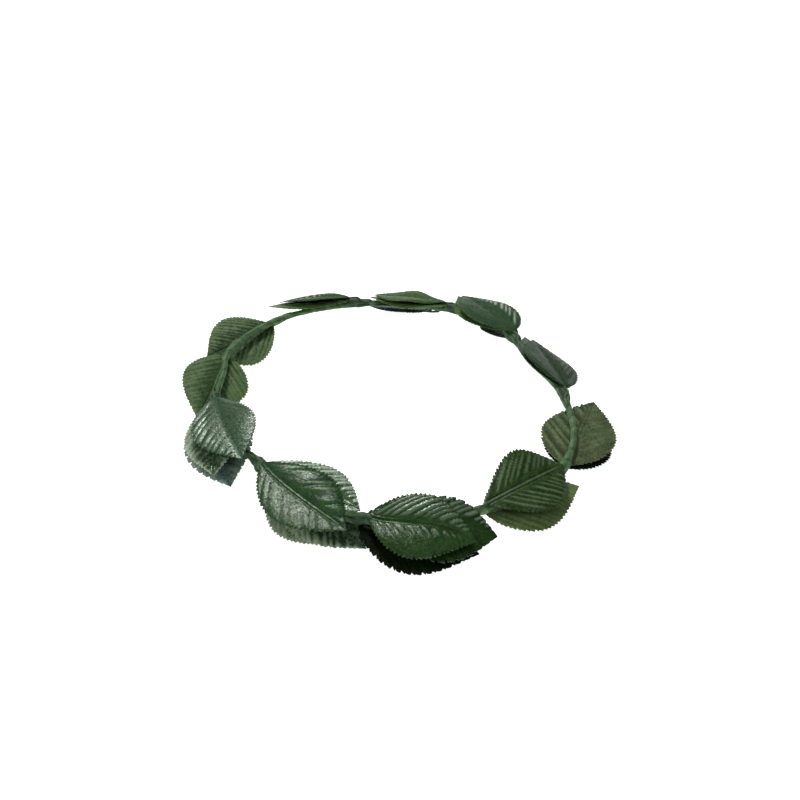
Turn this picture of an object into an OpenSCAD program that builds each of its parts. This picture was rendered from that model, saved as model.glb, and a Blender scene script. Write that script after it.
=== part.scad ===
// A laurel wreath crown: a taped wire ring with eleven sprigs of cloth leaves bound on to it.
// It lies on its lowest leaves. X and Y are measured from the middle of the ring, Z from the floor.
// Angles run counter-clockwise seen from above, and every leaf tip points that way round.

/* [Ring] */
// Radius of the ring where its share is 1, for a head of about 57 cm
ring_radius = 90; // [84:1:98]
// Diameter of the taped wire
wire_d = 3.2; // [2.8:0.1:4]
// Extra radius of the tape where a sprig is bound on
joint_swell = 0.3; // [0.1:0.1:0.8]
// Sides of the taped wire
wire_sides = 8; // [6:1:12]
// Steps of the ring from one sprig to the next
ring_steps = 5; // [4:1:8]

/* [Leaves] */
// Length of a blade whose share is 1, from its base to its tip
blade_length = 52; // [46:1:58]
// Greatest width of a blade whose share is 1
blade_width = 36; // [30:1:40]
// Length of the bare stalk below the blade
stalk_length = 4; // [3:0.5:6]
// Width of the bare stalk
stalk_width = 1.2; // [0.8:0.1:1.6]
// Thickness of the cloth
cloth_thickness = 1; // [1:0.1:1.3]
// Gap between a leaf's stalk and the tape or leaf that it lies against
seat_gap = 0.3; // [0.2:0.05:0.5]
// Teeth along each edge of a blade
teeth = 14; // [10:1:18]
// Depth of a tooth
tooth_depth = 0.7; // [0.3:0.1:1]
// How far the edges of a blade droop, as a share of its half width
edge_droop = 0.08; // [0:0.01:0.15]

/* [Hidden] */
// Where in its own length a tooth stands out furthest, so that it leans towards the tip
tooth_lean = 0.65;
// Half width left at the very tip
tip_half = 0.4;
// Powers of the outline's sine at a blade's base and tip: the higher it is, the more that end is drawn out
base_power = 0.7;
tip_power = 0.97;

// The ring isn't quite round. For each angle, its radius as a share of ring_radius
ring_table = [
    [0, 0.975],
    [22, 0.895],
    [40, 0.96],
    [66, 0.985],
    [103, 1],
    [134, 1.065],
    [156, 1.065],
    [168, 0.995],
    [183, 0.975],
    [221, 0.885],
    [263, 0.99],
    [295, 1.02],
    [327, 1.075],
];

// Where each sprig is bound on, for sprigs 1 to 11
sprig_angle = [103, 66, 37.5, 359, 326.5, 295, 263, 221.5, 183, 156, 134];

// One row for each leaf.
// ahead: degrees round the ring from its sprig's own place
// layer: 1 lies on the tape, 2 on the leaf of layer 1, and so on; -1 lies under the tape
// turn: degrees that the leaf points away from the ring, outwards positive
// lift: degrees that it rises at its base, and bend: how much that changes by its tip
// roll: degrees that its outer edge is raised, and sway: how much its turn changes along it
// length and width: shares of blade_length and blade_width
// belly: how far along it is widest, and fold: degrees that each half rises from the midrib
leaf_table = [
    // sprig, letter, ahead, layer, turn, lift, bend, roll, sway, length, width, belly, fold
    [1, "a", 0.4, 2, 10, 2.4, -15, -25, 0, 0.8, 0.93, 0.44, 7],
    [1, "b", 0, 1, 7, -2, -4.5, -21, 0, 0.93, 0.92, 0.44, 3],
    [2, "a", 0.5, 2, -14, 4, -8.5, -20, 0, 0.82, 0.92, 0.56, 7],
    [2, "b", 0, 1, -14, 2, -5, -18, 0, 0.88, 0.98, 0.44, 3],
    [2, "c", 6, -1, 0, -5, 0, -22, 0, 0.8, 0.9, 0.44, 5],
    [3, "a", -2, 2, -13, 8, -18, -12, 0, 0.92, 1, 0.44, 6],
    [3, "b", 0, 1, -8, 0.5, -7, -11, 0, 0.94, 1.0, 0.44, 3],
    [3, "c", 0.5, -1, 5, -4, 0, -12, 0, 0.48, 0.65, 0.44, 5],
    [4, "a", 0, 2, -4, 3, -8, -28, 0, 0.86, 0.94, 0.44, 6],
    [4, "b", 0, 1, -4, -1, -6, -28, 0, 1.05, 0.85, 0.44, 4],
    [5, "a", 0, -1, -8, -2, 0, 0, 0, 1.05, 1.02, 0.44, 6],
    [5, "b", 0, -2, -6, -6, 0, -5, 0, 0.95, 0.95, 0.44, 3],
    [6, "a", 0, 1, -13, 14, -26.5, -18, -16, 0.89, 0.93, 0.56, 5],
    [6, "b", 0, -1, -2, -2, 0, -8, 0, 0.93, 0.95, 0.44, 4],
    [7, "a", 0, 2, 5, 5, -10, -11, 0, 0.9, 0.93, 0.46, 7],
    [7, "b", 0, 1, -3, 1, -6, -8, 0, 1.04, 0.97, 0.58, 2],
    [7, "c", -3.6, -1, -6, -8, 0, -15, 0, 1.03, 1, 0.44, 4],
    [8, "a", 0, 2, -3, 1.5, -4, -5, -14, 1.12, 0.95, 0.52, 6],
    [8, "b", 0, 1, -15, 1.5, -3, 1, 0, 1.04, 0.95, 0.5, -2],
    [8, "c", 2.5, -2, 0.5, -8, 0, -14, 0, 0.9, 0.85, 0.5, 4],
    [8, "d", 8.5, -1, -7, -6, 0, -10, 0, 1.0, 0.85, 0.44, 4],
    [9, "a", 0, 2, -13, 7, -10, -8, -16, 1, 0.88, 0.5, 6],
    [9, "b", 0, 1, 1, -2, -3, -12, 0, 0.99, 0.85, 0.46, 3],
    [9, "c", 0, -1, -5, -7, 0, -6, -20, 1, 0.95, 0.44, 5],
    [10, "a", -1.5, -1, -10, -5, 0, 20, 0, 0.94, 0.98, 0.42, 5],
    [11, "a", -2, -1, -3, -3, 0, 17, 0, 0.84, 1.05, 0.5, 5],
];

// The columns of a leaf's row, in the order above
function sprig_of(leaf) = leaf[0];
function letter_of(leaf) = leaf[1];
function ahead_of(leaf) = leaf[2];
function layer_of(leaf) = leaf[3];
function turn_of(leaf) = leaf[4];
function lift_of(leaf) = leaf[5];
function bend_of(leaf) = leaf[6];
function roll_of(leaf) = leaf[7];
function sway_of(leaf) = leaf[8];
function length_share(leaf) = leaf[9];
function width_share(leaf) = leaf[10];
function belly_of(leaf) = leaf[11];
function fold_of(leaf) = leaf[12];

function leaf_name(leaf) = str("leaf_", sprig_of(leaf), letter_of(leaf));

function unit(v) = v / norm(v);

function angle_of(row) = row[0];
function share_of(row) = row[1];

// Row i of the ring table, carried on past either end by whole turns
function ring_row(i) =
    let (n = len(ring_table), turns = floor(i / n))
    ring_table[i - turns * n] + [360 * turns, 0];

function slope_at(i) =
    let (before = ring_row(i - 1), after = ring_row(i + 1))
    (share_of(after) - share_of(before)) / (angle_of(after) - angle_of(before));

// A smooth cubic through the rows of the ring table
function ring_share(angle) =
    let (
        a = angle - 360 * floor(angle / 360),
        i = max([for (k = [0:len(ring_table) - 1]) if (angle_of(ring_table[k]) <= a) k]),
        here = ring_row(i),
        next = ring_row(i + 1),
        span = angle_of(next) - angle_of(here),
        u = (a - angle_of(here)) / span
    )
    (2 * u ^ 3 - 3 * u ^ 2 + 1) * share_of(here)
    + (u ^ 3 - 2 * u ^ 2 + u) * span * slope_at(i)
    + (3 * u ^ 2 - 2 * u ^ 3) * share_of(next)
    + (u ^ 3 - u ^ 2) * span * slope_at(i + 1);

function ring_point(angle) = ring_radius * ring_share(angle) * [cos(angle), sin(angle), 0];
function ring_forward(angle) = unit(ring_point(angle + 1) - ring_point(angle - 1));
function ring_outward(angle) = cross(ring_forward(angle), [0, 0, 1]);

// How far the middle of a leaf's cloth lies from the middle of the wire at its stalk
function seat_distance(layer) =
    wire_d / 2 + joint_swell + abs(layer) * (seat_gap + cloth_thickness) - cloth_thickness / 2;

// Half width of a blade of half width 1, t of the way from its base to its tip
function blade_outline(t, belly) =
    sin(180 * t ^ (ln(0.5) / ln(belly))) ^ (base_power + (tip_power - base_power) * t);

// Where the rows across a blade lie: a notch and a tooth by turns
blade_rows = [for (i = [0:2 * teeth]) (floor(i / 2) + (i % 2) * tooth_lean) / teeth];

function half_width(leaf, t, notch) =
    let (
        full = blade_width / 2 * width_share(leaf) * blade_outline(t, belly_of(leaf)),
        w = full - (notch ? tooth_depth : 0)
    )
    t == 1 ? tip_half : max(w, stalk_width / 2);

function leaf_length(leaf) = stalk_length + blade_length * length_share(leaf);

// Three directions s of the way along a leaf: along it, across it to its outer edge, and out of its face
function leaf_frame(leaf, s, forward, outward) =
    let (
        yaw = turn_of(leaf) + sway_of(leaf) * (s - 0.5),
        pitch = lift_of(leaf) + bend_of(leaf) * s,
        ahead = cos(pitch) * (cos(yaw) * forward + sin(yaw) * outward) + [0, 0, sin(pitch)],
        level = cos(yaw) * outward - sin(yaw) * forward,
        above = cross(level, ahead)
    )
    [
        ahead,
        cos(roll_of(leaf)) * level + sin(roll_of(leaf)) * above,
        cos(roll_of(leaf)) * above - sin(roll_of(leaf)) * level
    ];

function along(frame) = frame[0];
function across(frame) = frame[1];
function face(frame) = frame[2];

// Six points for each row across a leaf: three on its face, then three on its back
function leaf_points(leaf) =
    let (
        angle = sprig_angle[sprig_of(leaf) - 1] + ahead_of(leaf),
        blade = blade_length * length_share(leaf),
        rows = concat([-stalk_length / blade], blade_rows),
        share = [for (t = rows) (stalk_length + t * blade) / leaf_length(leaf)],
        frames = [for (s = share) leaf_frame(leaf, s, ring_forward(angle), ring_outward(angle))],
        seat = sign(layer_of(leaf)) * seat_distance(layer_of(leaf)),
        start = ring_point(angle) + seat * face(frames[0]),
        middle = [
            for (
                i = 0, p = start;
                i < len(rows);
                p = p + (i + 1 < len(rows)
                    ? (share[i + 1] - share[i]) * leaf_length(leaf)
                        * (along(frames[i]) + along(frames[i + 1])) / 2
                    : [0, 0, 0]),
                i = i + 1
            ) p
        ]
    )
    [
        for (i = [0:len(rows) - 1])
        let (
            w = half_width(leaf, max(rows[i], 0), i % 2 == 1),
            rise = w * (tan(fold_of(leaf)) - edge_droop)
        )
        for (side = [1, -1])
        for (v = [-1, 0, 1])
        middle[i] + w * v * across(frames[i])
            + (abs(v) * rise + side * cloth_thickness / 2) * face(frames[i])
    ];

// The floor lies under the lowest leaf
ring_height = -min([for (leaf = leaf_table) for (p = leaf_points(leaf)) p[2]]);

function leaf_faces(rows) =
    let (last = 6 * (rows - 1))
    concat(
        [for (i = [0:rows - 2]) for (j = [0, 1]) let (a = 6 * i + j) for (f = [
            [a, a + 6, a + 7], [a, a + 7, a + 1],
            [a + 3, a + 4, a + 10], [a + 3, a + 10, a + 9]
        ]) f],
        [for (i = [0:rows - 2]) let (a = 6 * i) for (f = [
            [a + 5, a + 2, a + 8], [a + 5, a + 8, a + 11],
            [a + 9, a + 6, a], [a + 9, a, a + 3]
        ]) f],
        [[3, 0, 1], [3, 1, 4], [4, 1, 2], [4, 2, 5]],
        [for (f = [[3, 1, 0], [3, 4, 1], [4, 2, 1], [4, 5, 2]]) [for (k = f) last + k]]
    );

// The tape is thickest where a sprig is bound on and thins out to either side
function tape_radius(step) = wire_d / 2 + joint_swell * max(0, 1 - min(step, ring_steps - step));

// Angles of the rings of points round the wire, in even steps from one sprig to the next
sprigs = len(sprig_angle);
ring_angles = [
    for (k = [0:sprigs - 1])
    let (
        here = sprig_angle[k],
        gap = sprig_angle[(k + 1) % sprigs] - here,
        step = (gap - 360 * ceil(gap / 360)) / ring_steps
    )
    for (j = [0:ring_steps - 1]) [here + j * step, j]
];

module stem_ring() {
    rings = len(ring_angles);
    points = [
        for (r = ring_angles)
        for (k = [0:wire_sides - 1])
        let (around = 360 * (k + 0.5) / wire_sides)
        ring_point(r[0])
            + tape_radius(r[1]) * (cos(around) * ring_outward(r[0]) + [0, 0, sin(around)])
    ];
    faces = [
        for (i = [0:rings - 1])
        for (k = [0:wire_sides - 1])
        let (
            a = i * wire_sides + k,
            b = i * wire_sides + (k + 1) % wire_sides,
            c = ((i + 1) % rings) * wire_sides + (k + 1) % wire_sides,
            d = ((i + 1) % rings) * wire_sides + k
        )
        for (f = [[a, c, b], [a, d, c]]) f
    ];
    color("darkseagreen")
    translate([0, 0, ring_height])
    polyhedron(points = points, faces = faces);
}

module leaf(leaf) {
    color("darkgreen")
    translate([0, 0, ring_height])
    polyhedron(points = leaf_points(leaf), faces = leaf_faces(len(blade_rows) + 1));
}

stem_ring();
for (row = leaf_table) leaf(row);
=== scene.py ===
import math

import bpy
import numpy as np
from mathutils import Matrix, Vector


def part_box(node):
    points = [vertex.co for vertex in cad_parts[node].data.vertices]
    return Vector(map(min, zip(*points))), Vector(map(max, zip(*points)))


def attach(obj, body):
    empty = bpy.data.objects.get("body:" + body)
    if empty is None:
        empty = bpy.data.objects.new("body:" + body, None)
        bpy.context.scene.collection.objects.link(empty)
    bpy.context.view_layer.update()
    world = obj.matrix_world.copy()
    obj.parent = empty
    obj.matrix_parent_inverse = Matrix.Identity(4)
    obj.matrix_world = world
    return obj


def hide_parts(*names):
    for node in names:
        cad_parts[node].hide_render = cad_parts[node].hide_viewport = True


# A laurel wreath crown: a taped wire ring with sprigs of cloth leaves, lying on its lowest leaves.
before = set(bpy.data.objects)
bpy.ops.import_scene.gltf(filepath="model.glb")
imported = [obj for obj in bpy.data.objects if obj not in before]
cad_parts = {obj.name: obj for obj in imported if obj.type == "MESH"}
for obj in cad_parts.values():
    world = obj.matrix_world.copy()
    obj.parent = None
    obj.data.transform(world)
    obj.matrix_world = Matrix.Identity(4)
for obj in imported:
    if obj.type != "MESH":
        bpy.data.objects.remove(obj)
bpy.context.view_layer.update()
print("frame loaded,", len(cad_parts), "nodes")

stemLow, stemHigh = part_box("stem_ring")
ringHeight = (stemLow[2] + stemHigh[2]) / 2  # the ring's centreline above the floor

# Camera and room come first
roomSpec = {
    "aim": (0.0052, -0.0042),  # the point of the ring's plane that the camera looks at
    "cameraBack": 0.3561,  # how far in front of that point the camera stands
    "cameraUp": 0.2752,  # and how far above it
    "lens": 40.1,
    "floorSize": 30.0,
    "floorColor": (0.93, 0.93, 0.925, 1),
    "floorGlow": 0.92,  # keeps the paper pale under the leaves
    "floorRoughness": 0.9,
    "floorSpecular": 0.1,
    "worldColor": (0.93, 1.0, 0.95, 1),
    "worldStrength": 0.12,
}
# name, place, width, height, power in watts, colour
lampTable = [
    ("windowLamp", (-0.24, 0.96, 1.18), 0.24, 0.20, 14.0, (1.0, 1.0, 0.98)),
    ("topLamp", (0.05, -0.05, 1.60), 0.9, 0.7, 2.0, (1.0, 1.0, 1.0)),
    ("frontLamp", (0.30, -0.90, 1.30), 1.0, 0.8, 4.5, (1.0, 1.0, 1.0)),
    ("sideLamp", (-1.15, -0.20, 0.60), 0.5, 0.5, 6.0, (1.0, 1.0, 1.0)),
]


def lookAt(item, target):
    away = Vector(target) - item.location
    item.rotation_euler = away.to_track_quat("-Z", "Y").to_euler()


def makeRoom(spec):
    scene = bpy.context.scene
    aimX, aimY = spec["aim"]
    camera = bpy.data.objects.new("photoCamera", bpy.data.cameras.new("photoCamera"))
    camera.data.lens = spec["lens"]
    camera.data.sensor_width = 36.0
    camera.data.clip_start = 0.01
    camera.location = (aimX, aimY - spec["cameraBack"], ringHeight + spec["cameraUp"])
    lookAt(camera, (aimX, aimY, ringHeight))
    scene.collection.objects.link(camera)
    scene.camera = camera

    for name, place, width, height, power, color in lampTable:
        data = bpy.data.lights.new(name, "AREA")
        data.shape = "RECTANGLE"
        data.size = width
        data.size_y = height
        data.energy = power
        data.color = color
        lamp = bpy.data.objects.new(name, data)
        lamp.location = place
        lookAt(lamp, (0.0, 0.0, 0.0))
        scene.collection.objects.link(lamp)

    world = bpy.data.worlds.new("paleRoom")
    world.use_nodes = True
    back = world.node_tree.nodes["Background"]
    back.inputs["Color"].default_value = spec["worldColor"]
    back.inputs["Strength"].default_value = spec["worldStrength"]
    scene.world = world
    scene.view_settings.view_transform = "Standard"

    half = spec["floorSize"] / 2
    mesh = bpy.data.meshes.new("floor")
    corners = [(-half, -half, 0), (half, -half, 0), (half, half, 0), (-half, half, 0)]
    mesh.from_pydata(corners, [], [(0, 1, 2, 3)])
    floor = bpy.data.objects.new("floor", mesh)
    scene.collection.objects.link(floor)
    paper = bpy.data.materials.new("paleFloor")
    paper.use_nodes = True
    shader = paper.node_tree.nodes["Principled BSDF"]
    shader.inputs["Base Color"].default_value = spec["floorColor"]
    shader.inputs["Roughness"].default_value = spec["floorRoughness"]
    shader.inputs["Specular IOR Level"].default_value = spec["floorSpecular"]
    shader.inputs["Emission Color"].default_value = (1, 1, 1, 1)
    shader.inputs["Emission Strength"].default_value = spec["floorGlow"]
    mesh.materials.append(paper)


makeRoom(roomSpec)
print("camera, lamps and floor in place")


mm = 0.001
mapUnit = 0.01  # metres of cloth or tape to one unit of their UV maps

# The ring's line, which the leaves are seated on
ringSpec = {
    "radius": 0.090,  # where the share below is 1
    "wireRadius": 0.0016,
    "jointSwell": 0.0003,
    "swellReach": 7.0,  # degrees to either side of a sprig
    "angles": [0, 22, 40, 66, 103, 134, 156, 168, 183, 221, 263, 295, 327],
    "shares": [0.975, 0.895, 0.96, 0.985, 1, 1.065, 1.065, 0.995, 0.975, 0.885, 0.99, 1.02, 1.075],
}
# degrees round the ring, for sprigs 1 to 11
sprigAngles = [103, 66, 37.5, 359, 326.5, 295, 263, 221.5, 183, 156, 134]
# a leaf that sits this many degrees ahead of its sprig has a lump of tape and a short stalk of its own
wellAhead = 5


def ringRadiusAt(angle):
    # a smooth cubic through the rows of the table, with each row's slope that of the line through its two
    # neighbours
    rowAngle = np.array(ringSpec["angles"], float)
    rowAngle = np.concatenate([rowAngle - 360, rowAngle, rowAngle + 360])
    rowShare = np.tile(np.array(ringSpec["shares"], float), 3)
    slope = np.zeros_like(rowAngle)
    slope[1:-1] = (rowShare[2:] - rowShare[:-2]) / (rowAngle[2:] - rowAngle[:-2])
    a = np.mod(angle, 360.0)
    i = np.searchsorted(rowAngle, a, side="right") - 1
    span = rowAngle[i + 1] - rowAngle[i]
    u = (a - rowAngle[i]) / span
    share = (
        (2 * u**3 - 3 * u**2 + 1) * rowShare[i]
        + (u**3 - 2 * u**2 + u) * span * slope[i]
        + (3 * u**2 - 2 * u**3) * rowShare[i + 1]
        + (u**3 - u**2) * span * slope[i + 1]
    )
    return ringSpec["radius"] * share


def ringPoint(angle):
    # the ring's centreline: a circle of that radius at the ring's height, as points in a last axis of three
    angle = np.asarray(angle, float)
    r, a = ringRadiusAt(angle), np.radians(angle)
    return np.stack([r * np.cos(a), r * np.sin(a), np.full_like(r, ringHeight)], -1)


def unit(v):
    # each vector over its own length
    return v / np.linalg.norm(v, axis=-1, keepdims=True)


def ringAxes(angle):
    # forward along the ring, counter-clockwise, and level outwards
    forward = unit(ringPoint(np.asarray(angle) + 1) - ringPoint(np.asarray(angle) - 1))
    outward = np.cross(forward, [0.0, 0.0, 1.0])
    return forward, outward


def smoothStep(x):
    # from 0 to 1 and level at both ends: three times the square less twice the cube
    x = np.clip(x, 0, 1)
    return x * x * (3 - 2 * x)


def degreesPast(angle, start):
    # how far round the ring an angle lies past another, from -180 to 180
    return (angle - start + 180) % 360 - 180


def makeMesh(name, points, quads, uv, values, material):
    # a mesh from whole arrays: points, four-cornered faces, a UV place and named values for each point
    mesh = bpy.data.meshes.new(name)
    mesh.vertices.add(len(points))
    mesh.vertices.foreach_set("co", np.ascontiguousarray(points, np.float32).ravel())
    mesh.loops.add(quads.size)
    mesh.loops.foreach_set("vertex_index", np.ascontiguousarray(quads, np.int32).ravel())
    mesh.polygons.add(len(quads))
    mesh.polygons.foreach_set("loop_start", np.arange(0, quads.size, 4, dtype=np.int32))
    mesh.update(calc_edges=True)
    mesh.validate()
    corners = uv[quads.ravel()].astype(np.float32)
    mesh.uv_layers.new(name="clothUv").uv.foreach_set("vector", corners.ravel())
    for key, value in values.items():
        layer = mesh.attributes.new(key, "FLOAT", "POINT")
        layer.data.foreach_set("value", np.ascontiguousarray(value, np.float32))
    mesh.polygons.foreach_set("use_smooth", np.ones(len(quads), bool))
    mesh.materials.append(material)
    piece = bpy.data.objects.new(name, mesh)
    bpy.context.scene.collection.objects.link(piece)
    return piece


def markSharp(mesh, ringOfPoint):
    # edges that run along a border are sharp; a point's ring number is 0 where it is on no border
    ends = np.empty(len(mesh.edges) * 2, np.int32)
    mesh.edges.foreach_get("vertices", ends)
    rings = ringOfPoint[ends.reshape(-1, 2)]
    sharp = (rings[:, 0] > 0) & (rings[:, 0] == rings[:, 1])
    mesh.attributes.new("sharp_edge", "BOOLEAN", "EDGE").data.foreach_set("value", sharp)


def tubeQuads(rings, sides, first=0, closed=False):
    # faces of a tube whose points go round each ring in turn, counter-clockwise seen from its end
    i = np.arange(rings if closed else rings - 1)[:, None]
    k = np.arange(sides)[None, :]
    a = i * sides + k
    b = i * sides + (k + 1) % sides
    c = ((i + 1) % rings) * sides + (k + 1) % sides
    d = ((i + 1) % rings) * sides + k
    return np.stack([a, b, c, d], -1).reshape(-1, 4) + first


# The leaves: where each is seated and how it lies
leafSpec = {
    "bladeLength": 0.052,
    "bladeWidth": 0.036,
    "stalkLength": 0.004,
    "seatThickness": 0.001,  # room that a leaf takes in its stack
    "seatGap": 0.0003,
    "edgeDroop": 0.08,
    "clothThickness": 0.00032,
    "leastHalfWidth": 0.0003,
    "halfColumns": 25,
    "teeth": 30,
    "toothDepth": 0.00095,
    "toothSizes": (0.75, 1.25),  # smallest and largest tooth, as shares of that depth
    "toothPlaces": (0.0, 0.35, 0.7, 0.86),  # rows across one tooth, as shares of it
    "toothPeak": 0.7,
    "toothPower": 10,  # how close to the edge the notches keep
    "baseTeeth": 3,  # how many teeth grow up from the base, and fade to the tip
    "tipTeeth": 4,
}
# ahead: degrees round the ring from the sprig to the leaf; layer: its place in the stack, 1 next to the wire
# and negative below it; turn, lift and roll: degrees outwards, upwards and up at the outer edge; bend is
# added to the lift from foot to tip, and sway to the turn about its middle; length and width: shares of the
# blade's; belly: where along the blade it is widest; fold: degrees that both halves climb from the midrib
leafTable = {
    "1a": (0.4, 2, 10, 2.4, -15, -25, 0, 0.8, 0.93, 0.44, 7),
    "1b": (0, 1, 7, -2, -4.5, -21, 0, 0.93, 0.92, 0.44, 3),
    "2a": (0.5, 2, -14, 4, -8.5, -20, 0, 0.82, 0.92, 0.56, 7),
    "2b": (0, 1, -14, 2, -5, -18, 0, 0.88, 0.98, 0.44, 3),
    "2c": (6, -1, 0, -5, 0, -22, 0, 0.8, 0.9, 0.44, 5),
    "3a": (-2, 2, -13, 8, -18, -12, 0, 0.92, 1, 0.44, 6),
    "3b": (0, 1, -8, 0.5, -7, -11, 0, 0.94, 1.0, 0.44, 3),
    "3c": (0.5, -1, 5, -4, 0, -12, 0, 0.48, 0.65, 0.44, 5),
    "4a": (0, 2, -4, 3, -8, -28, 0, 0.86, 0.94, 0.44, 6),
    "4b": (0, 1, -4, -1, -6, -28, 0, 1.05, 0.85, 0.44, 4),
    "5a": (0, -1, -8, -2, 0, 0, 0, 1.05, 1.02, 0.44, 6),
    "5b": (0, -2, -6, -6, 0, -5, 0, 0.95, 0.95, 0.44, 3),
    "6a": (0, 1, -13, 14, -26.5, -18, -16, 0.89, 0.93, 0.56, 5),
    "6b": (0, -1, -2, -2, 0, -8, 0, 0.93, 0.95, 0.44, 4),
    "7a": (0, 2, 5, 5, -10, -11, 0, 0.9, 0.93, 0.46, 7),
    "7b": (0, 1, -3, 1, -6, -8, 0, 1.04, 0.97, 0.58, 2),
    "7c": (-3.6, -1, -6, -8, 0, -15, 0, 1.03, 1, 0.44, 4),
    "8a": (0, 2, -3, 1.5, -4, -5, -14, 1.12, 0.95, 0.52, 6),
    "8b": (0, 1, -15, 1.5, -3, 1, 0, 1.04, 0.95, 0.5, -2),
    "8c": (2.5, -2, 0.5, -8, 0, -14, 0, 0.9, 0.85, 0.5, 4),
    "8d": (8.5, -1, -7, -6, 0, -10, 0, 1.0, 0.85, 0.44, 4),
    "9a": (0, 2, -13, 7, -10, -8, -16, 1, 0.88, 0.5, 6),
    "9b": (0, 1, 1, -2, -3, -12, 0, 0.99, 0.85, 0.46, 3),
    "9c": (0, -1, -5, -7, 0, -6, -20, 1, 0.95, 0.44, 5),
    "10a": (-1.5, -1, -10, -5, 0, 20, 0, 0.94, 0.98, 0.42, 5),
    "11a": (-2, -1, -3, -3, 0, 17, 0, 0.84, 1.05, 0.5, 5),
}
leafKeys = ("ahead", "layer", "turn", "lift", "bend", "roll", "sway", "length", "width", "belly", "fold")
# dye; number of pleats, their height in mm and from where to where they run as shares of the half width,
# each for the inner and the outer half; a slow buckle in mm; how unequal neighbouring teeth are; the
# midrib's height in mm; how strongly a painted glint makes the crests of the pleats and a high midrib pale
lookTable = {
    "1a": ("dusk", (12, 12), (0.24, 0.24), (0.0, 0.7), (0.0, 0.7), 0.2, 0.2, 0.15, 0.6),
    "1b": ("meadow", (12, 12), (0.38, 0.38), (0.1, 1.0), (0.1, 1.0), 0.1, 0.5, 0.15, 0.5),
    "2a": ("fern", (10, 10), (0.19, 0.29), (0.1, 1.0), (0.3, 1.0), 0.6, 0.2, 0.15, 0),
    "2b": ("meadow", (11, 11), (0.26, 0.26), (0.1, 1.0), (0.1, 1.0), 0.1, 0.3, 0.15, 0.1),
    "2c": ("mist", (11, 11), (0.22, 0.22), (0.1, 1.0), (0.1, 1.0), 0.1, 0.3, 0.15, 0),
    "3a": ("slate", (11, 11), (0.04, 0.5), (0.1, 1.0), (0.45, 0.85), 0.2, 0.2, 0.15, 0.8),
    "3b": ("meadow", (11, 11), (0.26, 0.26), (0.1, 1.0), (0.1, 1.0), 0.1, 0.3, 0.15, 0),
    "3c": ("mist", (9, 9), (0.19, 0.19), (0.1, 1.0), (0.1, 1.0), 0.1, 0.2, 0.15, 0),
    "4a": ("steel", (10, 10), (0.10, 0.26), (0.1, 1.0), (0.4, 1.0), 0.3, 0.2, 0.15, 0.1),
    "4b": ("slate", (10, 10), (0.19, 0.19), (0.1, 1.0), (0.1, 1.0), 0.1, 0.2, 0.15, 0),
    "5a": ("lichen", (9, 9), (-0.9, -0.1), (0.05, 1.0), (0.1, 1.0), 0.2, 0.25, 0.3, 0),
    "5b": ("night", (11, 11), (-0.26, -0.26), (0.1, 1.0), (0.1, 1.0), 0.1, 0.25, 0.25, 0),
    "6a": ("moss", (12, 12), (-0.22, -0.2), (0.25, 0.85), (0.2, 0.9), 0.5, 0.25, 0.5, 0.18),
    "6b": ("khaki", (12, 12), (0.16, 0.16), (0.1, 1.0), (0.1, 1.0), 0.2, 0.25, 0.25, 0),
    "7a": ("pine", (12, 12), (0.30, 0.26), (0.2, 1.0), (0.12, 0.34), 0.2, 0.2, -0.2, 0.15),
    "7b": ("yew", (12, 12), (0.44, 0.14), (0.5, 1.0), (0.1, 1.0), 0.1, 0.7, 0.2, 0.3),
    "7c": ("night", (12, 12), (0.1, 0.1), (0.1, 1.0), (0.1, 1.0), 0.1, 0.6, 0.25, 0),
    "8a": ("forest", (7, 9), (0.32, 0.17), (0.3, 1.0), (0.1, 1.0), 0.2, 0.25, 0.24, 0),
    "8b": ("silver", (12, 10), (0.5, 0.3), (0.55, 1.0), (0.1, 1.0), 0.0, 0.3, 0.25, 0.9),
    "8c": ("sage", (11, 11), (0.14, 0.14), (0.1, 1.0), (0.1, 1.0), 0.1, 0.25, 0.25, 0),
    "8d": ("sage", (11, 11), (0.14, 0.14), (0.1, 1.0), (0.1, 1.0), 0.1, 0.3, 0.25, 0),
    "9a": ("spruce", (11, 11), (0.30, 0.30), (0.5, 1.0), (0.5, 1.0), 0.2, 0.25, 0.05, 0.1),
    "9b": ("sage", (11, 11), (0.12, 0.16), (0.1, 1.0), (0.1, 1.0), 0.1, 0.3, 0.2, 0),
    "9c": ("frost", (11, 11), (0.1, 0.12), (0.1, 1.0), (0.1, 1.0), 0.1, 0.7, 0.2, 0),
    "10a": ("olive", (13, 13), (-0.34, -0.16), (0.0, 1.0), (0.0, 1.0), 0.2, 0.2, -0.2, 0),
    "11a": ("fennel", (10, 13), (-0.30, -0.30), (0.0, 1.0), (0.0, 1.0), 0.2, 0.2, -0.2, 0),
}
lookKeys = ("dye", "pleats", "heights", "innerBand", "outerBand", "buckle", "uneven", "rib", "worn")
# how strongly the inner and the outer half arch; how far the midrib lies to the outer side at base and tip,
# as shares of the half width; how much the pleats slant, as a share of what is usual
usualLook = {"arches": (0.08, 0.08), "ribShift": (0, 0), "slant": 1.0}
ownLook = {
    "1a": {"slant": 0.15},
    "7a": {"arches": (0.05, 0.0), "ribShift": (0.15, -0.25)},
    "8a": {"arches": (0.24, 0.02), "ribShift": (0.12, 0)},
    "8b": {"arches": (-0.1, 0.08)},
    "9a": {"arches": (0.04, 0.0)},
}
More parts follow.
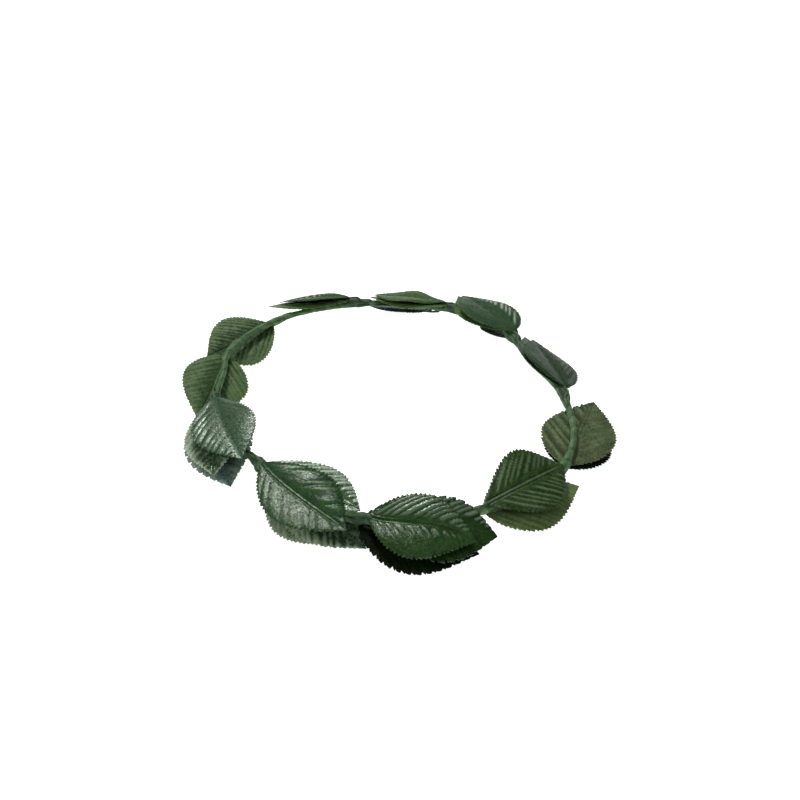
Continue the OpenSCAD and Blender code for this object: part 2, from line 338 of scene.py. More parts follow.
# shaded and lit colour of each dye, the roughness and the gloss of its cloth, and from where to where on
# the way from the midrib to the rim a painted shade darkens it towards the midrib and pales it to the rim,
# in shares of the half width, and by how much
dyeTable = {
    # painted shadow: a near black dye for leaves that lie in the shade of the leaves above
    "night": ((0.002, 0.005, 0.001), (0.007, 0.018, 0.005), 0.34, 0.12, (0, 1, 0)),
    "forest": ((0.009, 0.034, 0.011), (0.037, 0.091, 0.028), 0.29, 0.18, (0, 1, 0)),
    "silver": ((0.012, 0.044, 0.014), (0.050, 0.118, 0.036), 0.28, 0.48, (0, 1, 0)),
    "pine": ((0.008, 0.028, 0.006), (0.034, 0.080, 0.018), 0.20, 0.16, (0, 1, 0)),
    "yew": ((0.005, 0.020, 0.004), (0.027, 0.066, 0.012), 0.22, 0.16, (0, 1, 0)),
    "spruce": ((0.016, 0.044, 0.020), (0.052, 0.108, 0.050), 0.32, 0.38, (0, 1, 0)),
    # painted sheen: a pale silvery lit colour for leaves that lie in shadow, with painted shade towards the
    # midrib where the leaf above shades it
    "sage": ((0.020, 0.050, 0.018), (0.380, 0.470, 0.330), 0.28, 0.6, (0.55, 0.95, 0.9)),
    # painted sheen and shade: a pale silvery lit colour, a bluish shaded colour and painted shade towards the
    # midrib
    "frost": ((0.060, 0.100, 0.100), (0.380, 0.480, 0.410), 0.30, 0.5, (0.3, 0.95, 0.7)),
    "moss": ((0.013, 0.034, 0.007), (0.062, 0.108, 0.034), 0.30, 0.13, (0, 1, 0)),
    "fern": ((0.024, 0.062, 0.014), (0.076, 0.142, 0.038), 0.45, 0.08, (0, 1, 0)),
    "dusk": ((0.012, 0.036, 0.008), (0.036, 0.084, 0.022), 0.50, 0.02, (0, 1, 0)),
    "meadow": ((0.036, 0.080, 0.020), (0.115, 0.200, 0.065), 0.45, 0.10, (0, 1, 0)),
    "slate": ((0.018, 0.046, 0.019), (0.053, 0.110, 0.050), 0.42, 0.10, (0, 1, 0)),
    "steel": ((0.012, 0.031, 0.013), (0.037, 0.072, 0.034), 0.42, 0.08, (0, 1, 0)),
    # painted shade: slate-blue cloth for leaves in the shade of the leaves above, with the sky's blue painted
    # in
    "mist": ((0.014, 0.030, 0.033), (0.038, 0.070, 0.075), 0.40, 0.08, (0, 1, 0)),
    "lichen": ((0.040, 0.058, 0.024), (0.135, 0.175, 0.080), 0.55, 0.12, (0, 1, 0)),
    # painted light: a pale dye for a leaf that lies in the shade of the leaf above
    "khaki": ((0.075, 0.115, 0.040), (0.200, 0.275, 0.115), 0.55, 0.15, (0, 1, 0)),
    "fennel": ((0.015, 0.038, 0.010), (0.115, 0.182, 0.074), 0.55, 0.15, (0.1, 0.9, 0.9)),
    "olive": ((0.024, 0.053, 0.016), (0.112, 0.178, 0.072), 0.55, 0.15, (0.1, 0.7, 0.8)),
}


def leafRow(name):
    # all that the tables say of a leaf
    row = dict(zip(leafKeys, leafTable[name]))
    row.update(zip(lookKeys, lookTable[name]))
    row.update(usualLook)
    row.update(ownLook.get(name, {}))
    row["sprig"] = int(name[:-1])
    row["angle"] = sprigAngles[row["sprig"] - 1] + row["ahead"]
    row["bladeLength"] = leafSpec["bladeLength"] * row["length"]
    return row


def seatDistance(layer):
    # how far the middle of a leaf's cloth lies from the middle of the wire at its stalk
    room = leafSpec["seatGap"] + leafSpec["seatThickness"]
    return ringSpec["wireRadius"] + ringSpec["jointSwell"] + abs(layer) * room - leafSpec["seatThickness"] / 2


def leafAxes(row, share):
    # along the leaf, across it to its outer edge and out of its face, at each share of its length: the
    # ring's own axes turned about the upright by the turn and its sway, tipped up by the lift and its bend,
    # then rolled
    forward, outward = ringAxes(row["angle"])
    yaw = np.radians(row["turn"] + row["sway"] * (share - 0.5))[:, None]
    pitch = np.radians(row["lift"] + row["bend"] * share)[:, None]
    roll = math.radians(row["roll"])
    up = np.array([0.0, 0.0, 1.0])
    along = np.cos(pitch) * (np.cos(yaw) * forward + np.sin(yaw) * outward) + np.sin(pitch) * up
    level = np.cos(yaw) * outward - np.sin(yaw) * forward
    above = np.cross(level, along)
    across = math.cos(roll) * level + math.sin(roll) * above
    face = math.cos(roll) * above - math.sin(roll) * level
    return along, across, face


def leafSpine(row, count=400):
    # the leaf's middle line from the foot of its stalk to its tip, stepped along its own direction
    length = leafSpec["stalkLength"] + row["bladeLength"]
    share = np.linspace(0, 1, count)
    along, across, face = leafAxes(row, share)
    steps = (along[1:] + along[:-1]) / 2 * length / (count - 1)
    start = ringPoint(row["angle"]) + np.sign(row["layer"]) * seatDistance(row["layer"]) * face[0]
    middle = np.vstack([start, start + np.cumsum(steps, 0)])
    return share, middle, across, face, length


def alongSpine(spine, distance):
    # the spine's place, across and face directions at distances from the foot of the stalk, in metres
    share, middle, across, face, length = spine
    where = distance / length
    pick = lambda a: np.stack([np.interp(where, share, a[:, k]) for k in range(3)], -1)
    return pick(middle), pick(across), pick(face)


def bladeHalfWidth(row, t):
    # a rounded base and a drawn-out tip: a sine of a warped t, raised to a power that grows to the tip
    warped = np.clip(t, 0, 1) ** (math.log(0.5) / math.log(row["belly"]))
    outline = np.sin(np.pi * warped).clip(0) ** (0.7 + 0.27 * t)
    return leafSpec["bladeWidth"] / 2 * row["width"] * outline


def patchy(x, y, draw):
    # slow random hills from about -1 to 1: a sum of waves that run in random directions
    total = 0
    for _ in range(5):
        heading, wave, start = draw.uniform(0, np.pi), draw.uniform(0.7, 1.6), draw.uniform(0, 6.28)
        total = total + np.sin(wave * (x * math.cos(heading) + y * math.sin(heading)) + start)
    return total / 2.5


def cutBlade(row, draw):
    # the flat blade as a grid: x, across it, is the way to the side times the half width, and y runs along
    # it; rows stand at even steps along the outline, a few to a tooth, and columns closer together at the
    # midrib. A notch closes in a straight line up to its tooth's peak and opens again behind it, and is cut
    # square to the outline
    spec = leafSpec
    length = row["bladeLength"]
    fine = np.linspace(0, 1, 3000)
    edgeX = bladeHalfWidth(row, fine)
    edgeY = fine * length
    area = 2 * float(np.sum((edgeX[1:] + edgeX[:-1]) / 2 * np.diff(edgeY)))
    run = np.concatenate([[0], np.cumsum(np.hypot(np.diff(edgeX), np.diff(edgeY)))])
    places, teeth, peak = np.array(spec["toothPlaces"]), spec["teeth"], spec["toothPeak"]
    tooth = np.append((np.arange(teeth)[:, None] + places).ravel(), teeth)
    t = np.interp(tooth / teeth * run[-1], run, fine)
    half = np.maximum(bladeHalfWidth(row, t), spec["leastHalfWidth"])
    slope = np.gradient(half, t * length)
    stretch = np.hypot(1, slope)
    j = np.linspace(-1, 1, 2 * spec["halfColumns"] + 1)
    side = (np.sign(j) * (0.3 * abs(j) + 0.7 * abs(j) ** 1.6))[None, :]

    phase = tooth % 1
    notch = np.where(phase <= peak, 1 - phase / peak, (phase - peak) / (1 - peak))
    fade = smoothStep(tooth / spec["baseTeeth"]) * smoothStep((teeth - tooth) / spec["tipTeeth"])
    # each edge has its own teeth
    cut = np.zeros((2, len(t)))
    for k in (0, 1):
        uneven = 1 + row["uneven"] * (-1.0) ** np.arange(teeth + 1)
        size = np.repeat(draw.uniform(*spec["toothSizes"], teeth + 1) * uneven, len(places))[: len(t)]
        cut[k] = spec["toothDepth"] * notch * size * fade
    depth = np.where(side < 0, cut[0][:, None], cut[1][:, None])
    atEdge = abs(side) ** spec["toothPower"]
    x = side * half[:, None] - np.sign(side) * depth / stretch[:, None] * atEdge
    y = t[:, None] * length + depth * (slope / stretch)[:, None] * atEdge
    return t[:, None], side, half[:, None], x, np.clip(y, 0, length), area


reliefSpec = {
    "lean": (0.8, 0.95),  # how far a pleat runs on towards the tip for each metre from the midrib
    "curl": (10, 16),  # and for each square metre
    "stray": 0.2,  # how far the pleats stray from even spacing, in pleats
    "strayLength": 0.016,
    "humpPower": 1.4,
    "bandStart": 0.2,  # shares of the half width over which a pleat's band starts and ends
    "bandEnd": 0.25,
    "faint": 0.12,  # height outside a pleat's band, as a share of that inside
    "ribClear": 0.0008,  # pleats keep this far off the midrib
    "ribFade": 0.002,  # and come to their height over this much more
    "baseFade": 0.08,  # shares of the blade's length over which they rise at its base and end at its tip
    "tipFade": 0.1,
    "patchSize": 0.011,  # size of the patches in which the pleats are higher or lower
    "patchDepth": 0.55,
    "patchLimits": (0.1, 1.9),
    "ribRadius": 0.00036,
    "grooveAt": 0.00085,  # a groove lies beside the midrib
    "grooveRadius": 0.00032,
    "grooveDepth": 0.6,  # as a share of the midrib's height
    "ribTipFade": 0.3,  # share of the blade's length over which the midrib fades to the tip
    "ribTipLeft": 0.15,  # and how far up that slope it still is there
    "rimWaves": (1.3, 1.9),  # waves of the rim along the blade, fewest and most
    "swellWaves": (0.8, 1.2),
    "swellLength": 0.05,
    "buckleFade": 0.2,
    "shadedHeight": 0.00035,  # pleats from this height on are shaded in full
    "glintHeight": 0.00015,  # pleats lower than this get no painted glint
    "glintRib": 0.4,  # a midrib higher than this, in mm, gets the painted glint too
    "crestFrom": 0.12,  # height in a pleat's hump from which the painted glint starts
    "crestOver": 0.22,  # and over how much more it comes to the full
}


def shapeBlade(row, t, side, half, x, y, draw):
    # the relief over the flat blade: a crease that climbs from the midrib, with an arch that is highest
    # half way out, less a droop by the square of the way out, plus pleats, midrib and a slow buckle
    spec = reliefSpec
    inner = side < 0
    reach = abs(x)
    drift = row["ribShift"][0] * (1 - t) ** 2 + row["ribShift"][1] * t
    x = x + half * drift * (1 - side**2)

    # a pleat is a sine's size to a power, on a beat along the blade that runs on to the tip as it leaves the
    # midrib
    lean = row["slant"] * (reach * draw.uniform(*spec["lean"]) + reach**2 * draw.uniform(*spec["curl"]))
    beat = np.where(inner, *row["pleats"]) * (y - lean) / row["bladeLength"] + draw.uniform(0, 1)
    beat = beat + spec["stray"] * np.sin(2 * np.pi * (y - lean) / spec["strayLength"] + draw.uniform(0, 6))
    hump = abs(np.sin(np.pi * beat)) ** spec["humpPower"] - 0.5
    height = np.where(inner, *row["heights"]) * mm
    start = np.where(inner, row["innerBand"][0], row["outerBand"][0])
    end = np.where(inner, row["innerBand"][1], row["outerBand"][1])
    begins = smoothStep((abs(side) - start) / spec["bandStart"] + 0.5)
    ends = smoothStep((end - abs(side)) / spec["bandEnd"] + 0.5)
    band = spec["faint"] + (1 - spec["faint"]) * begins * ends
    patches = patchy(x / spec["patchSize"], y / spec["patchSize"], draw)
    pleat = hump * (band * smoothStep((reach - spec["ribClear"]) / spec["ribFade"]))
    pleat = pleat * smoothStep(t / spec["baseFade"]) * smoothStep((1 - t) / spec["tipFade"])
    pleat = pleat * (1 + spec["patchDepth"] * patches).clip(*spec["patchLimits"])

    # the midrib is a bell curve with a shallower one, turned down, on either side, and fades to the tip
    groove = np.exp(-(((reach - spec["grooveAt"]) / spec["grooveRadius"]) ** 2))
    rib = np.exp(-((reach / spec["ribRadius"]) ** 2)) - spec["grooveDepth"] * groove
    rib = rib * smoothStep((1 - t) / spec["ribTipFade"] + spec["ribTipLeft"])

    # the buckle is a sine along the blade, most at the rim, and half of another that also turns across it
    along = y / row["bladeLength"]
    waves = np.sin(2 * np.pi * (along * draw.uniform(*spec["rimWaves"]) + draw.uniform(0, 1)))
    swell = along * draw.uniform(*spec["swellWaves"]) + x / spec["swellLength"] + draw.uniform(0, 1)
    swell = np.sin(2 * np.pi * swell)
    buckle = row["buckle"] * mm * (waves * abs(side) ** 1.5 + 0.5 * swell * abs(side))
    buckle = buckle * smoothStep(t / spec["buckleFade"])
    crease = reach * (math.tan(math.radians(row["fold"])) + np.where(inner, *row["arches"]) * (1 - abs(side)))
    droop = leafSpec["edgeDroop"] * half * side**2
    relief = crease - droop + height * pleat + row["rib"] * mm * rib + buckle

    # painted highlight: the crests of high pleats and a high midrib are marked for a pale colour that stands
    # in for the lamp's glints
    crest = smoothStep((pleat * np.sign(height) - spec["crestFrom"]) / spec["crestOver"])
    crest = crest * band * (abs(height) > spec["glintHeight"])
    worn = row["worn"] * np.maximum(crest, rib.clip(0, 1) * (row["rib"] > spec["glintRib"]))
    # the pleat mark is the pleats' height, which the cloth turns into painted shade in the grooves and
    # painted light on the crests
    marks = {
        "pleat": pleat * (height / spec["shadedHeight"]).clip(-1, 1),
        "worn": worn,
        "edge": (reach / half).clip(0, 1),
    }
    return x, relief, marks


def makeLeaf(name, material, draw):
    # a sheet of even thickness about the blade's middle, which is the spine's place plus x across and the
    # relief out of its face
    row = leafRow(name)
    t, side, half, x, y, area = cutBlade(row, draw)
    x, relief, marks = shapeBlade(row, t, side, half, x, y, draw)
    place, across, face = alongSpine(leafSpine(row), leafSpec["stalkLength"] + y.ravel())
    sheet = (place + across * x.reshape(-1, 1) + face * relief.reshape(-1, 1)).reshape(*x.shape, 3)
    # the thickness goes along the sheet's own normal
    normal = unit(np.cross(np.gradient(sheet, axis=1), np.gradient(sheet, axis=0)) + 1e-12)
    shift = normal * leafSpec["clothThickness"] / 2
    points = np.concatenate([(sheet + shift).reshape(-1, 3), (sheet - shift).reshape(-1, 3)])

    index = np.arange(x.size).reshape(x.shape)
    top = np.stack([index[:-1, :-1], index[:-1, 1:], index[1:, 1:], index[1:, :-1]], -1).reshape(-1, 4)
    low = top[:, ::-1] + x.size
    border = np.concatenate([index[0, :-1], index[:-1, -1], index[-1, :0:-1], index[:0:-1, 0]])
    after = np.roll(border, -1)
    rim = np.stack([border + x.size, after + x.size, after, border], -1)
    quads = np.concatenate([top, low, rim])
    uv = np.stack([x.ravel(), y.ravel()], -1) / mapUnit
    values = {key: np.tile(value.ravel(), 2) for key, value in marks.items()}
    piece = makeMesh("clothLeaf_" + name, points, quads, np.tile(uv, (2, 1)), values, material)
    ringOfPoint = np.zeros(len(points), np.int32)
    ringOfPoint[border] = 1
    ringOfPoint[border + x.size] = 2
    markSharp(piece.data, ringOfPoint)

    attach(piece, "root")
    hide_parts("leaf_" + name)
    return piece


# Node helpers
def addNode(tree, kind, inputs=None, **settings):
    node = tree.nodes.new(kind)
    for key, value in settings.items():
        setattr(node, key, value)
    for key, value in (inputs or {}).items():
        if isinstance(value, bpy.types.NodeSocket):
            tree.links.new(value, node.inputs[key])
        else:
            node.inputs[key].default_value = value
    return node


def attribute(tree, name):
    return addNode(tree, "ShaderNodeAttribute", attribute_name=name).outputs["Fac"]


def mixColor(tree, factor, first, second):
    colors = {0: factor, 6: first, 7: second}
    return addNode(tree, "ShaderNodeMix", colors, data_type="RGBA", blend_type="MIX").outputs[2]


def plus(tree, first, second):
    return addNode(tree, "ShaderNodeMath", {0: first, 1: second}, operation="ADD").outputs[0]


def vectorMath(tree, operation, inputs):
    return addNode(tree, "ShaderNodeVectorMath", inputs, operation=operation).outputs[0]


def remap(tree, value, low, high, newLow, newHigh):
    node = addNode(tree, "ShaderNodeMapRange", {0: value, 1: low, 2: high, 3: newLow, 4: newHigh})
    return node.outputs[0]


def scaled(tree, place, scale, turn=0.0):
    inputs = {"Vector": place, "Rotation": (0, 0, turn), "Scale": scale}
    return addNode(tree, "ShaderNodeMapping", inputs).outputs[0]


def noise(tree, place, scale, detail, roughness=0.5):
    inputs = {"Vector": place, "Scale": scale, "Detail": detail, "Roughness": roughness}
    return addNode(tree, "ShaderNodeTexNoise", inputs).outputs["Fac"]


# scales are for one unit of the cloth's map
satinSpec = {
    "cloudScale": 1.6,
    "threadTurn": 0.7,  # radians from the midrib to the threads
    "threadLength": 2.4,  # how much longer than wide a thread's float is
    "warpScale": 22.0,
    "weftScale": 25.0,
    "fleckScale": (17.0, 14.0, 1.0),
    "fleckLean": 0.07,  # how far the normal of a single float leans
    "weaveDepth": 0.00006,
    "roughnessSpread": 0.05,
    "sheen": (0.9, 1.0, 0.86, 1),
    # the pale colour of the painted glint on the crests and the midrib
    "worn": (0.40, 0.50, 0.40, 1),
}


def satinCloth(dye, spec):
    # moulded satin: the dye's shaded colour mixed with its lit one by a tone, and with a painted glint colour
    # on the crests and a high midrib. The tone is a slow cloud, plus the pleats' height as painted shade in
    # the grooves and painted light on the crests, the weave, a pale rim, a painted shade that darkens the
    # cloth towards the midrib and pales it to the rim, and a fleck for each float of thread. Fleck plus
    # weave is also the gloss, and the cloud the roughness
    shade, lit, roughness, gloss, (midribShadeFrom, midribShadeTo, midribShade) = dyeTable[dye]
    material = bpy.data.materials.new(dye + "Satin")
    material.use_nodes = True
    tree = material.node_tree
    shader = tree.nodes["Principled BSDF"]
    uv = addNode(tree, "ShaderNodeUVMap", uv_map="clothUv").outputs[0]
    edge = attribute(tree, "edge")
    cloud = noise(tree, uv, spec["cloudScale"], 3.0)
    warpPlace = scaled(tree, uv, (1.0, spec["threadLength"], 1.0), spec["threadTurn"])
    weftPlace = scaled(tree, uv, (spec["threadLength"], 1.0, 1.0), spec["threadTurn"])
    weave = plus(
        tree,
        noise(tree, warpPlace, spec["warpScale"], 1.0, 0.6),
        noise(tree, weftPlace, spec["weftScale"], 1.0, 0.6),
    )
    floats = scaled(tree, uv, spec["fleckScale"], spec["threadTurn"])
    cells = addNode(tree, "ShaderNodeTexVoronoi", {"Vector": floats, "Scale": 1.0}).outputs["Color"]
    fleck = addNode(tree, "ShaderNodeSeparateXYZ", {0: cells}).outputs[2]

    tone = remap(tree, cloud, 0.3, 0.7, 0.2, 0.75)
    for value, low, high, darker, lighter in (
        # painted shade in the grooves of the pleats and painted light on their crests
        (attribute(tree, "pleat"), -0.55, 0.4, -0.6, 0.3),
        (weave, 0.75, 1.25, -0.25, 0.25),
        (edge, 0.93, 1.0, 0.0, 0.2),
        # painted shade: the cloth darker towards the midrib and paler to the rim, for the shade in the fold
        # along the midrib and under the leaf above
        (edge, midribShadeFrom, midribShadeTo, -midribShade / 2, midribShade / 2),
        (fleck, 0.0, 1.0, -0.18, 0.18),
    ):
        tone = plus(tree, tone, remap(tree, value, low, high, darker, lighter))
    base = mixColor(tree, tone, (*shade, 1), (*lit, 1))
    # painted highlight: the pale glint colour mixed in on the marked crests and midrib
    base = mixColor(tree, attribute(tree, "worn"), base, spec["worn"])
    tree.links.new(base, shader.inputs["Base Color"])
    glint = remap(tree, plus(tree, fleck, weave), 0.9, 2.0, 0.1 * gloss, 1.8 * gloss)
    tree.links.new(glint, shader.inputs["Specular IOR Level"])
    shader.inputs["Specular Tint"].default_value = spec["sheen"]
    vary = spec["roughnessSpread"]
    rough = remap(tree, cloud, 0.3, 0.7, roughness + vary, roughness - vary)
    tree.links.new(rough, shader.inputs["Roughness"])
    # each short float of thread leans its own way, so single ones glint
    relief = {"Height": weave, "Strength": 0.4, "Distance": spec["weaveDepth"]}
    bump = addNode(tree, "ShaderNodeBump", relief).outputs[0]
    lean = vectorMath(tree, "ADD", {0: cells, 1: (-0.5, -0.5, -0.5)})
    lean = vectorMath(tree, "SCALE", {0: lean, 3: spec["fleckLean"]})
    normal = vectorMath(tree, "NORMALIZE", {0: vectorMath(tree, "ADD", {0: bump, 1: lean})})
    tree.links.new(normal, shader.inputs["Normal"])
    return material


tapeSpec = {
    "shade": (0.016, 0.046, 0.018),
    "lit": (0.112, 0.220, 0.086),
    "specular": 0.25,
    "cloudScale": 2.2,
    "creaseScale": 9.0,
    "creaseStretch": (4.0, 0.7, 1.0),  # across and along the stem
    "creaseDepth": 0.0002,
    "steps": 1000,
    "sides": 32,
    "pitch": 0.0085,  # how far the tape moves on with each turn
    "sunk": 0.0001,  # how far the tape lies inside the wire's own radius where it has no lip
    "lip": 0.00016,  # how far its upper edge stands proud
    "lipFall": 0.06,  # share of a turn over which the lip falls away
    "crinkle": 0.00005,
    "crinkleWaves": (23, 57),  # waves of the crinkle's two sines round the ring
    "lumpBack": 4.0,  # degrees over which the tape climbs to the foot of the leaves
    "lumpAhead": 4.0,  # degrees ahead of the foot at which it is down again
    "lumpFall": 1.6,  # degrees over which it comes down
    "lumpPower": 0.8,
    "strandReach": 13.0,  # degrees behind a sprig over which its stalks show through the tape
    "strandDepth": 0.0006,
    "paintedShadeBack": 11,  # degrees behind and ahead of a full sprig over which a painted shade darkens the tape, for the shade of its leaves
    "paintedShadeAhead": 6,
    "paintedShadeTone": 1.4,
}


def floralTape(spec):
    # crinkled waxy tape: its shaded colour mixed with its lit one by a tone, which is a slow cloud, plus
    # the lip (pale where it stands proud) with a painted shade round the foot of each full sprig, plus fine
    # creases drawn out along the stem
    material = bpy.data.materials.new("floralTape")
    material.use_nodes = True
    tree = material.node_tree
    shader = tree.nodes["Principled BSDF"]
    uv = addNode(tree, "ShaderNodeUVMap", uv_map="clothUv").outputs[0]
    # the lip value also carries the painted shade round the full sprigs
    lip = {0: attribute(tree, "lip"), 1: 0.4, 2: -0.2}
    lip = addNode(tree, "ShaderNodeMath", lip, operation="MULTIPLY_ADD")
    cloud = noise(tree, uv, spec["cloudScale"], 4.0)
    creases = noise(tree, scaled(tree, uv, spec["creaseStretch"]), spec["creaseScale"], 3.0)
    tone = plus(tree, remap(tree, cloud, 0.3, 0.7, 0.2, 0.8), lip.outputs[0])
    tone = plus(tree, tone, remap(tree, creases, 0.3, 0.7, -0.2, 0.2))
    base = mixColor(tree, tone, (*spec["shade"], 1), (*spec["lit"], 1))
    tree.links.new(base, shader.inputs["Base Color"])
    tree.links.new(remap(tree, creases, 0.3, 0.7, 0.6, 0.45), shader.inputs["Roughness"])
    relief = {"Height": creases, "Strength": 0.5, "Distance": spec["creaseDepth"]}
    tree.links.new(addNode(tree, "ShaderNodeBump", relief).outputs[0], shader.inputs["Normal"])
    shader.inputs["Specular IOR Level"].default_value = spec["specular"]
    return material


def tapeLumps(angle, around):
    # the tape is wound over the stalks at each sprig, as high as its leaves are stacked: a smooth rise and
    # fall along the ring, times the sine round the wire to a power, on the side where the leaves lie
    spec = tapeSpec
    wire = ringSpec["wireRadius"]
    lump = np.zeros((len(angle), len(around)))
    allRows = [leafRow(name) for name in leafTable]
    for sprig in range(1, len(sprigAngles) + 1):
        for side, far in ((1, False), (-1, False), (-1, True)):
            rows = [r for r in allRows if r["sprig"] == sprig and (r["ahead"] >= wellAhead) == far]
            rows = [r for r in rows if r["layer"] * side > 0]
            if not rows:
                continue
            topmost = max(rows, key=lambda r: abs(r["layer"]))
            room = seatDistance(topmost["layer"]) - wire - ringSpec["jointSwell"]
            past = degreesPast(angle, min(r["angle"] for r in rows))
            climb = smoothStep(1 + past / spec["lumpBack"])
            fall = smoothStep((spec["lumpAhead"] - past) / spec["lumpFall"])
            top = np.clip(side * np.sin(around - math.radians(topmost["roll"])), 0, 1) ** spec["lumpPower"]
            height = (room - spec["sunk"]) * np.where(past < 0, climb, fall)[:, None] * top
            lump = np.maximum(lump, height)
    return lump


def tapeStrands(angle, around):
    # the stalks under the tape show through it as strands: the size of a cosine round the wire, which turns
    # slowly along it, fading out behind each sprig
    reach = tapeSpec["strandReach"]
    strands = abs(np.cos(2.5 * around + np.radians(angle)[:, None] * 6)) - 0.6
    behind = [(a - angle) % 360 for a in sprigAngles]
    behind = np.min([np.where(b < reach, b, 360) for b in behind], 0)
    fade = smoothStep(1 - behind / reach)[:, None] * (behind < 360)[:, None]
    return tapeSpec["strandDepth"] * strands * fade


def makeStem(material):
    # the ring: a circle carried round the centreline, swollen at the sprigs, with the tape's lip as a
    # sawtooth that winds round it, lumps and strands over the stalks, and a crinkle of two sines
    spec = tapeSpec
    angle = np.linspace(0, 360, spec["steps"], endpoint=False)
    around = np.linspace(0, 2 * np.pi, spec["sides"], endpoint=False)
    outward = ringAxes(angle)[1]
    centre = ringPoint(angle)
    run = np.concatenate([[0], np.cumsum(np.linalg.norm(np.diff(centre, axis=0), axis=1))])
    total = run[-1] + np.linalg.norm(centre[0] - centre[-1])
    turns = round(total / spec["pitch"])
    off = np.min([abs(degreesPast(angle, a)) for a in sprigAngles], 0)
    swell = ringSpec["jointSwell"] * smoothStep(1 - off / ringSpec["swellReach"])
    beat = (turns * run[:, None] / total + around[None, :] / (2 * np.pi)) % 1
    lip = beat * smoothStep((1 - beat) / spec["lipFall"])
    turned = np.radians(angle)[:, None]
    slow, quick = spec["crinkleWaves"]
    crinkle = np.sin(slow * turned) * np.sin(around * 2 + 1) + np.sin(quick * turned)
    lump = tapeLumps(angle, around) + tapeStrands(angle, around)
    radius = ringSpec["wireRadius"] - spec["sunk"] + swell[:, None] + lump
    radius = radius + spec["lip"] * lip + spec["crinkle"] * crinkle
    level = radius * np.cos(around)
    rise = radius * np.sin(around)
    up = np.array([0.0, 0.0, 1.0])
    points = centre[:, None, :] + level[..., None] * outward[:, None, :] + rise[..., None] * up
    quads = tubeQuads(spec["steps"], spec["sides"], closed=True)[:, ::-1]
    grid = np.meshgrid(run / mapUnit, around * ringSpec["wireRadius"] / mapUnit, indexing="ij")
    # painted shade: darker round the foot of a full sprig, for the shade that its leaves cast on the tape
    full = [sprigAngles[int(n[:-1]) - 1] for n in leafTable if leafTable[n][1] == 2]
    past = np.array([degreesPast(angle, a) for a in full])
    behind, ahead = smoothStep(1 + past / spec["paintedShadeBack"]), smoothStep(1 - past / spec["paintedShadeAhead"])
    tone = lip - spec["paintedShadeTone"] * np.max(np.where(past < 0, behind, ahead), 0)[:, None]

    parts = [(points.reshape(-1, 3), quads, np.stack([grid[1], grid[0]], -1).reshape(-1, 2), tone.ravel())]
    for name in leafTable:
        parts.append(stalkTube(name, sum(len(p[0]) for p in parts)))
    allPoints, allQuads, allUv, allLipAndShade = (np.concatenate(a) for a in zip(*parts))
    piece = makeMesh("tapedStem", allPoints, allQuads, allUv, {"lip": allLipAndShade}, material)
    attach(piece, "root")
    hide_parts("stem_ring")
    return piece


strandSpec = {
    "radius": 0.00066,
    "tipRadius": 0.00002,
    "sides": 8,
    "hiddenSteps": 30,
    "bladeSteps": 16,
    "back": 6.0,  # degrees that a stalk runs back along the ring before it goes under the tape
    "shortBack": 1.2,  # the same for a leaf that sits well ahead of its sprig
    "spread": 30.0,  # degrees round the tape between the stalks of the upper leaves
    "flank": 82.0,  # degrees from the top at which the lower leaves' stalks come out
    "long": {"9b": (17.0, 78.0)},  # one stalk that lies beside the ring for longer, and on which flank
    "sink": 0.0006,  # how deep in the tape it starts
    "seat": 0.7,  # where its middle lies over the tape and how thick its ends are, in radii
    "bladeStart": 0.0008,  # how far along the leaf's own stalk it takes over
    "under": 0.010,  # how far it runs on under the blade, in metres
    "drop": 0.00045,  # and how far below the blade's middle
    "mapSteps": (0.06, 0.05),  # on the tape's map, for each step along it and each radian round it
    "mapShift": 1.7,  # from each stalk of a sprig to the next
    "tone": 0.1,  # as the lip's height in the tape's tone
}


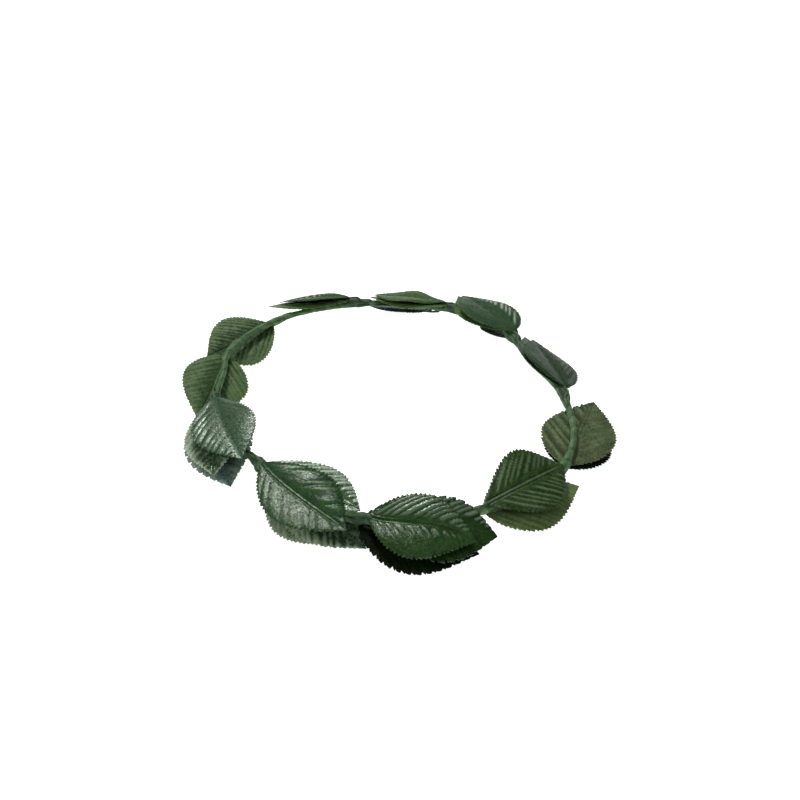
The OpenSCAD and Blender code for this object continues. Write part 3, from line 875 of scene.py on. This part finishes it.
def stalkTube(name, first):
    # a leaf's stalk: a thin circle carried along a path that lies beside the tape behind the sprig, climbs
    # in a smooth step to the foot of its leaf and runs on under the blade
    row = leafRow(name)
    spec = strandSpec
    mates = [n for n in leafTable if n[:-1] == name[:-1]]
    onTop = row["layer"] > 0
    mine = [n for n in mates if (leafTable[n][1] > 0) == onTop]
    place = mine.index(name)
    back = spec["back"] if row["ahead"] < wellAhead else spec["shortBack"]
    if onTop:
        flank = spec["spread"] * (place - (len(mine) - 1) / 2)
    else:
        flank = spec["flank"] * (-1) ** place
    back, flank = spec["long"].get(name, (back, flank))
    tilt = math.radians(flank)
    u = np.linspace(0, 1, spec["hiddenSteps"])
    angle = row["angle"] - back * (1 - u)
    up = np.array([0.0, 0.0, 1.0])
    startSide = math.sin(tilt) * ringAxes(angle)[1] + math.cos(tilt) * up
    seatSide = np.sign(row["layer"]) * leafAxes(row, np.zeros(1))[2][0]
    rise = smoothStep((u - 0.5) / 0.5)[:, None]
    swell = ringSpec["jointSwell"] * smoothStep(1 - back * (1 - u) / ringSpec["swellReach"])[:, None]
    sink = spec["sink"] * smoothStep(1 - u / 0.25)[:, None]
    low = ringSpec["wireRadius"] + swell + spec["radius"] * spec["seat"] - sink
    distance = low + rise * (seatDistance(row["layer"]) - low)
    hidden = ringPoint(angle) + distance * unit((1 - rise) * startSide + rise * seatSide)
    distance = np.linspace(spec["bladeStart"], leafSpec["stalkLength"] + spec["under"], spec["bladeSteps"])
    ahead, _, faces = alongSpine(leafSpine(row), distance)
    drop = spec["drop"] * smoothStep(distance / leafSpec["stalkLength"])
    path = np.vstack([hidden, ahead - faces * drop[:, None]])

    forward = unit(np.gradient(path, axis=0))
    side = unit(np.cross(forward, up))
    above = np.cross(side, forward)
    around = np.linspace(0, 2 * np.pi, spec["sides"], endpoint=False)[None, :, None]
    size = np.full(len(path), spec["radius"])
    size[0] = size[-1] = spec["tipRadius"]
    size[1] = size[-2] = spec["radius"] * spec["seat"]
    circle = np.cos(around) * side[:, None, :] + np.sin(around) * above[:, None, :]
    points = path[:, None, :] + size[:, None, None] * circle
    quads = tubeQuads(len(path), spec["sides"], first)
    # each end is closed with faces across it
    n = spec["sides"]
    last = first + (len(path) - 1) * n
    caps = [[first + k, first + n - 1 - k, first + n - 2 - k, first + k + 1] for k in range(n // 2 - 1)]
    caps += [[last + k, last + k + 1, last + n - 2 - k, last + n - 1 - k] for k in range(n // 2 - 1)]
    quads = np.concatenate([quads, np.array(caps)])
    stepAlong, stepRound = spec["mapSteps"]
    grid = np.meshgrid(np.arange(len(path)) * stepAlong, around.ravel() * stepRound, indexing="ij")
    uv = np.stack([grid[1], grid[0]], -1).reshape(-1, 2) + mates.index(name) * spec["mapShift"]
    return points.reshape(-1, 3), quads, uv, np.full(len(uv), spec["tone"])


cloths = {dye: satinCloth(dye, satinSpec) for dye in dyeTable}
print("materials made")
draw = np.random.default_rng(27)
for name in leafTable:
    makeLeaf(name, cloths[lookTable[name][0]], draw)
print(len(leafTable), "leaves cut, pleated and seated")
stem = makeStem(floralTape(tapeSpec))
print("stem taped,", len(stem.data.polygons), "faces")
